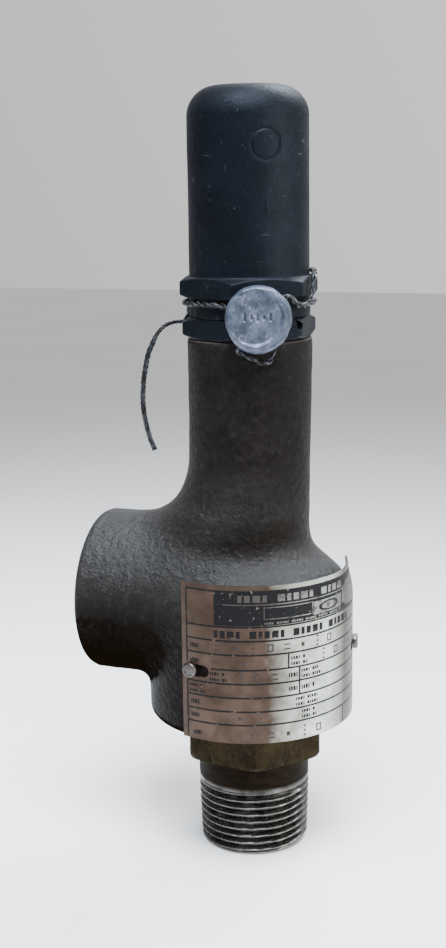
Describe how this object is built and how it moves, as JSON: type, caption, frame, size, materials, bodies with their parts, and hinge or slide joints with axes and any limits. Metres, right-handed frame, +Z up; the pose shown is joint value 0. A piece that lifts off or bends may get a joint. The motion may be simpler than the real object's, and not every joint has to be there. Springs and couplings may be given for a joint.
{
  "type": "pressure relief valve",
  "caption": "Small threaded angle relief valve with a side outlet, wrapped data plate, screwed closed cap, and a lead seal on twisted wire.",
  "frame": {"origin": "centre of the inlet end face, on the valve axis", "axes": "+Z up along the valve axis from the inlet to the cap, -X out of the side outlet"},
  "size_m": [0.0635, 0.05, 0.1802],
  "materials": {
    "casting": "dark brown-grey cast skin, pebbled",
    "blackened": "blue-black satin with fine scratches",
    "bronze": "tarnished olive, pitted",
    "stainless": "turned steel",
    "inner_steel": "turned steel",
    "spring_steel": "dark spring steel",
    "plate": "brushed sheet metal with black ink",
    "lead": "crushed dull lead",
    "wire": "dark twisted wire",
    "gasket": "brown composition sheet"
  },
  "bodies": {
    "root": {"body": "casting", "inlet_base": "bronze", "inlet_nozzle": "stainless", "base_gasket": "gasket", "disc_guide": "inner_steel", "top_plug": "blackened", "top_plug_gasket": "gasket", "cap_gasket": "gasket", "nameplate": "plate", "nameplate_screw_left": "stainless", "nameplate_screw_right": "stainless"},
    "disc_group": {"disc": "inner_steel", "disc_holder": "inner_steel", "disc_retaining_ring": "spring_steel", "spindle": "inner_steel", "lower_spring_washer": "inner_steel", "spring": "spring_steel"},
    "upper_washer": {"upper_spring_washer": "inner_steel"},
    "screw": {"adjusting_screw": "inner_steel"},
    "nut": {"lock_nut": "inner_steel"},
    "cap_group": {"cap": "blackened", "seal_wire": "wire", "seal_wire_tail": "wire", "lead_seal": "lead"}
  },
  "joints": [
    {"name": "disc_lift", "type": "slide", "parent": "root", "child": "disc_group", "axis": [0, 0, 1], "range_m": [0, 0.0025], "stiffness_N_per_m": 20000, "springref_m": -0.005, "deforming": ["spring"]},
    {"name": "upper_washer_travel", "type": "slide", "parent": "root", "child": "upper_washer", "axis": [0, 0, 1], "range_m": [-0.0019, 0.00127]},
    {"name": "adjusting_screw_turn", "type": "hinge", "parent": "upper_washer", "child": "screw", "pos_m": [0, 0, 0.13], "axis": [0, 0, 1], "range_deg": [-545, 366]},
    {"name": "lock_nut_turn", "type": "hinge", "parent": "root", "child": "nut", "pos_m": [0, 0, 0.144], "axis": [0, 0, 1], "range_deg": [0, 360]},
    {"name": "cap_lift_off", "type": "slide", "parent": "root", "child": "cap_group", "axis": [0, 0, 1], "range_m": [0, 0.07]}
  ],
  "couplings": [
    {"joint": "adjusting_screw_turn", "follows": "upper_washer_travel", "rad_per_m": 4947.4}
  ]
}
